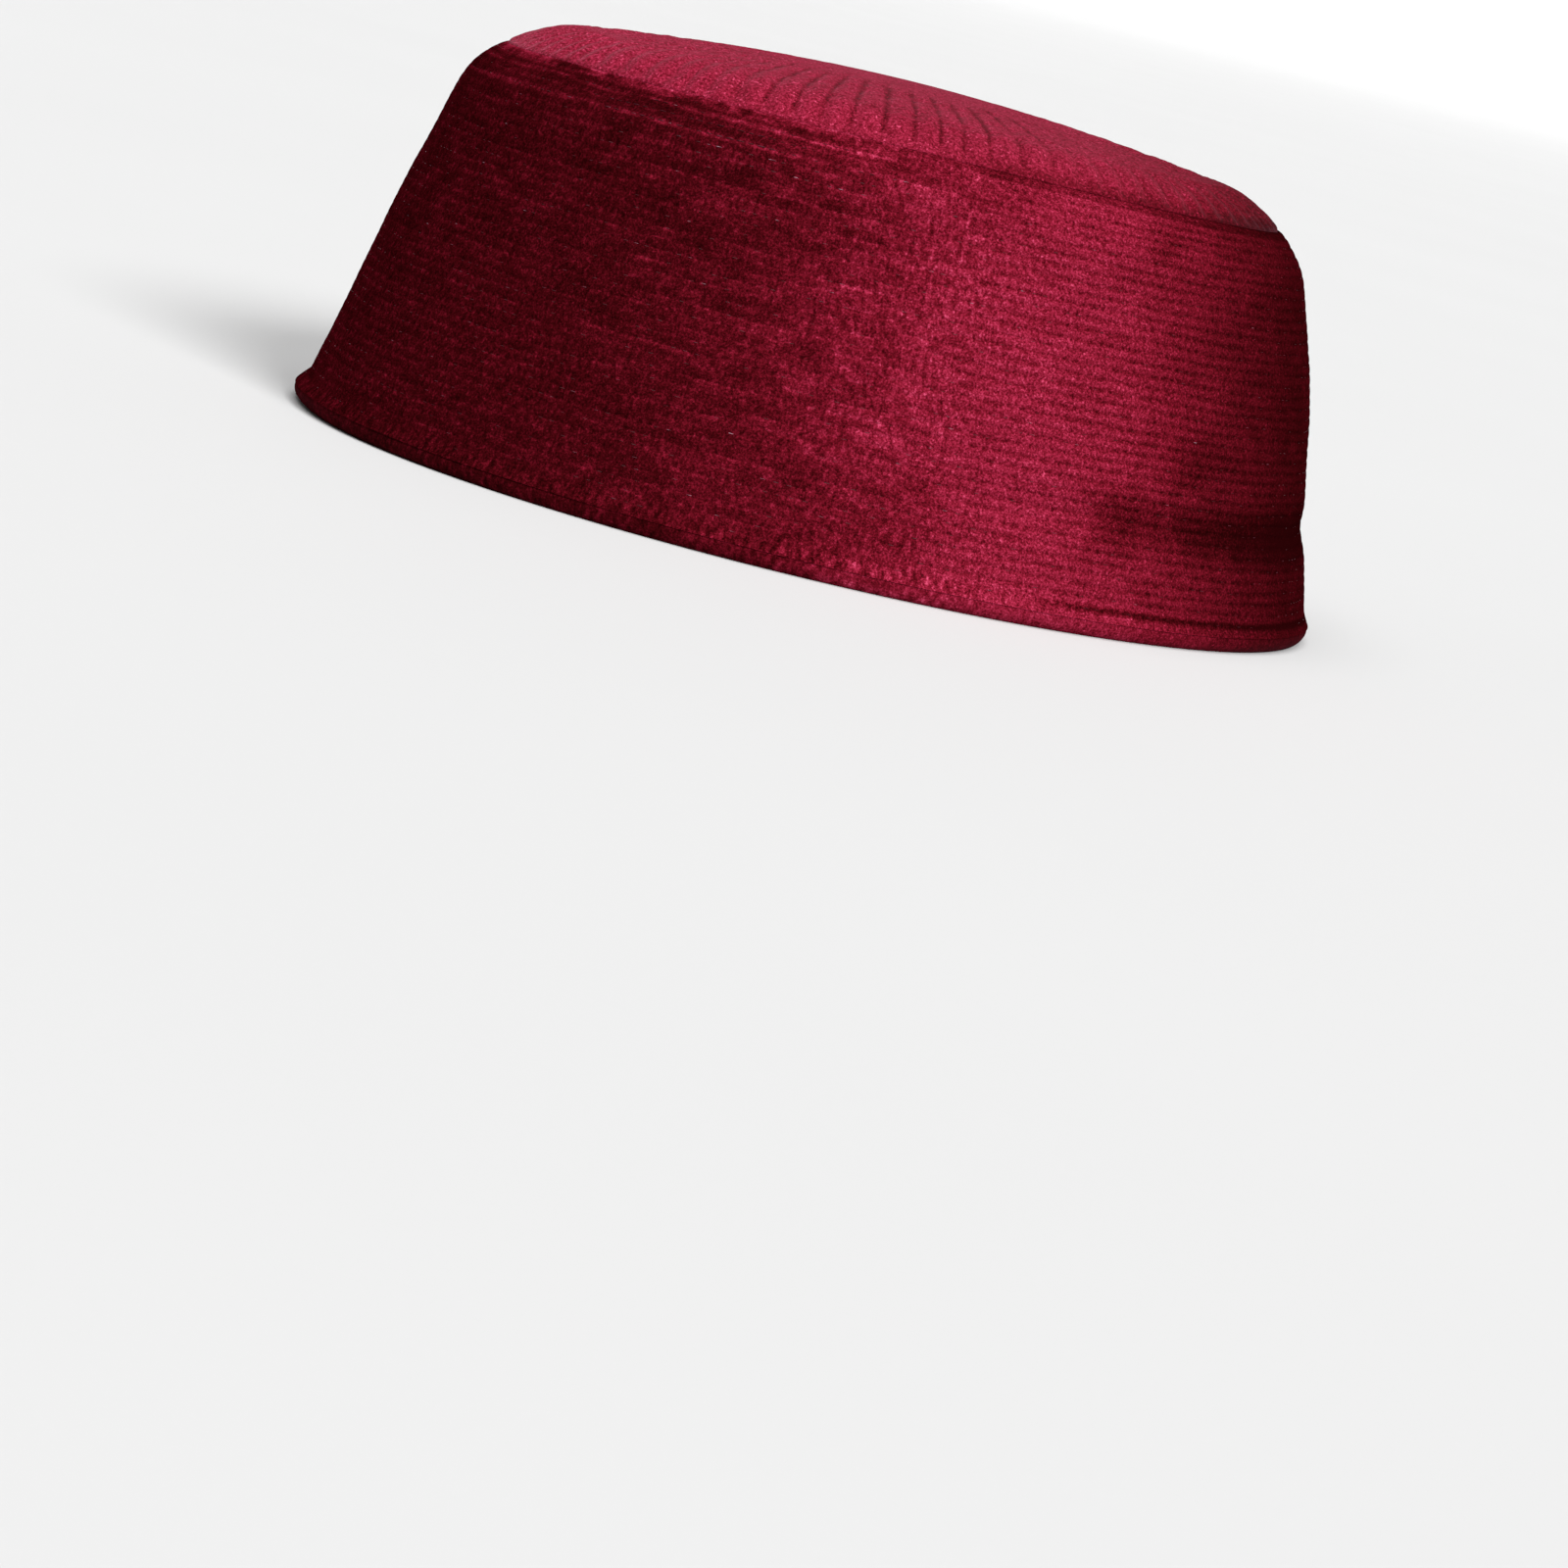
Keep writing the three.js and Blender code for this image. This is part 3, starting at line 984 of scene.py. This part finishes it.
def bandStitches():
    rings = [row * band["samplesPerRow"] for row in range(1, band["rows"])]
    places, normals = ringGrid(bandPiece, rings, band["steps"])
    starts, ends, ups, lifts = [], [], [], []
    count = band["stitchesAround"]
    for row in range(len(rings)):
        first = (np.arange(count) + (row + 1) * stitch["rowOffset"] % 1) * band["steps"] / count
        last = first + stitch["length"] * band["steps"] / count
        starts.append(pointsAround(places[row], first))
        ends.append(pointsAround(places[row], last))
        ups.append(pointsAround(normals[row], (first + last) / 2))
        fromRow = (row + 1 - stitch["crushedRow"]) / stitch["crushedRowReach"]
        fromX = (starts[-1][:, 0] - stitch["crushedX"]) / stitch["crushedXReach"]
        lifts.append(stitch["crushedLift"] * np.exp(-fromX * fromX - fromRow * fromRow))
    starts, ends, ups, lifts = (np.concatenate(rows) for rows in (starts, ends, ups, lifts))
    return joinStitches("bandStitches", starts, ends, ups, lifts)


def crownStitches():
    rings = list(range(2, crownOuterCount - 1))
    steps = crown["lines"] * crown["samplesPerLine"]
    places, normals = ringGrid(crownPiece, rings, steps)
    profile = crownProfile()[0]
    starts, ends, ups = [], [], []
    for lineNumber in range(crown["lines"]):
        column = lineNumber * crown["samplesPerLine"]
        sewn = [i for i, ring in enumerate(rings) if lineStrength(lineNumber, profile[ring][0]) > 0.5]
        line = places[sewn, column]
        lineUps = normals[sewn, column]
        walked = np.concatenate([[0], np.cumsum(np.linalg.norm(np.diff(line, axis=0), axis=1))])
        count = int(walked[-1] / stitch["crownPitch"])
        for number in range(count):
            paintedShadeSpots = [walked[-1] * (number + share) / count for share in (0.1, 0.9)]
            start, end = [[np.interp(spot, walked, line[:, axis]) for axis in range(3)] for spot in paintedShadeSpots]
            starts.append(start)
            ends.append(end)
            ups.append(lineUps[int(np.interp(paintedShadeSpots[0], walked, np.arange(len(sewn))))])
    return joinStitches("crownStitches", starts, ends, ups)


bandThread = bandStitches()
crownThread = crownStitches()
print("stitches", len(bandThread.data.polygons) + len(crownThread.data.polygons), "faces")

subdivision = crownPiece.modifiers.new("subdivision", "SUBSURF")
subdivision.levels = 1
subdivision.render_levels = 1

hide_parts("side_band")
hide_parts("crown_top")
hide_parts("rolled_rim")
for piece in (bandPiece, crownPiece, rimPiece, bandThread, crownThread):
    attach(piece, "root")


stage = {
    "halfWidth": 16.0,
    "sweepStart": 12.0,
    "sweepRadius": 4.0,
    "sweepSteps": 16,
    "wallTop": 9.0,
    "paper": 0.58,
    "worldStrength": 0.18,
}

# Large far softboxes: side is degrees to the right of the camera, rise degrees above the floor
softboxes = [
    {"name": "keyBox", "side": 35, "rise": 35, "spread": 22, "strength": 3.4},
    {"name": "topBox", "side": -20, "rise": 78, "spread": 60, "strength": 2.2},
]


def makeStage():
    bm = bmesh.new()
    chain = [bm.verts.new((-stage["halfWidth"], -stage["halfWidth"], 0))]
    for i in range(stage["sweepSteps"] + 1):
        turn = math.pi / 2 * i / stage["sweepSteps"]
        y = stage["sweepStart"] + stage["sweepRadius"] * math.sin(turn)
        z = stage["sweepRadius"] * (1 - math.cos(turn))
        chain.append(bm.verts.new((-stage["halfWidth"], y, z)))
    wallY = stage["sweepStart"] + stage["sweepRadius"]
    chain.append(bm.verts.new((-stage["halfWidth"], wallY, stage["wallTop"])))
    edges = [bm.edges.new(pair) for pair in zip(chain, chain[1:])]
    side = bmesh.ops.extrude_edge_only(bm, edges=edges)["geom"]
    moved = [part for part in side if isinstance(part, bmesh.types.BMVert)]
    bmesh.ops.translate(bm, verts=moved, vec=(2 * stage["halfWidth"], 0, 0))
    bmesh.ops.recalc_face_normals(bm, faces=bm.faces)
    material, flow = newMaterial("palePaper")
    place = flow.node("ShaderNodeTexCoord", {}, {}, "Object")
    shade = place.noiseAt(3, 2) * 0.02 + stage["paper"]
    colour = flow.node("ShaderNodeCombineColor", {}, {"Red": shade, "Green": shade, "Blue": shade})
    shader = flow.node("ShaderNodeBsdfPrincipled", {}, {
        "Base Color": colour, "Roughness": 0.85, "Specular IOR Level": 0.1,
    })
    flow.node("ShaderNodeOutputMaterial", {}, {"Surface": shader})
    return finishPiece(bm, "paperSweep", [material])


def addSoftbox(box):
    lamp = bpy.data.lights.new(box["name"], "SUN")
    lamp.angle = math.radians(box["spread"])
    lamp.energy = box["strength"]
    holder = bpy.data.objects.new(box["name"], lamp)
    side = math.radians(box["side"])
    rise = math.radians(box["rise"])
    flat = math.cos(rise)
    towards = Vector((math.sin(side) * flat, -math.cos(side) * flat, math.sin(rise)))
    holder.rotation_euler = (-towards).to_track_quat("-Z", "Y").to_euler()
    holder.location = towards * 3
    bpy.context.scene.collection.objects.link(holder)


def lightWorld():
    world = bpy.data.worlds.new("studio")
    bpy.context.scene.world = world
    world.use_nodes = True
    backdrop = world.node_tree.nodes["Background"]
    backdrop.inputs["Color"].default_value = (1, 1, 1, 1)
    backdrop.inputs["Strength"].default_value = stage["worldStrength"]


view = {
    "distance": 0.85,
    "height": 0.1158,
    "focal": 97.45,
    "yaw": math.radians(0.64),
    "pitch": math.radians(-11.34),
    "roll": math.radians(13.86),
}


def makeCamera():
    lens = bpy.data.cameras.new("camera")
    lens.lens = view["focal"]
    lens.sensor_width = 36
    lens.clip_start = 0.05
    camera = bpy.data.objects.new("camera", lens)
    flat = math.cos(view["pitch"])
    look = Vector((math.sin(view["yaw"]) * flat, math.cos(view["yaw"]) * flat, math.sin(view["pitch"])))
    turned = look.to_track_quat("-Z", "Y").to_matrix().to_4x4() @ Matrix.Rotation(view["roll"], 4, "Z")
    camera.matrix_world = Matrix.Translation((0, -view["distance"], view["height"])) @ turned
    bpy.context.scene.collection.objects.link(camera)
    bpy.context.scene.camera = camera


makeCamera()
floor = makeStage()
lightWorld()
for box in softboxes:
    addSoftbox(box)
bpy.context.scene.view_settings.view_transform = "Standard"
print("stage, lights and camera set")
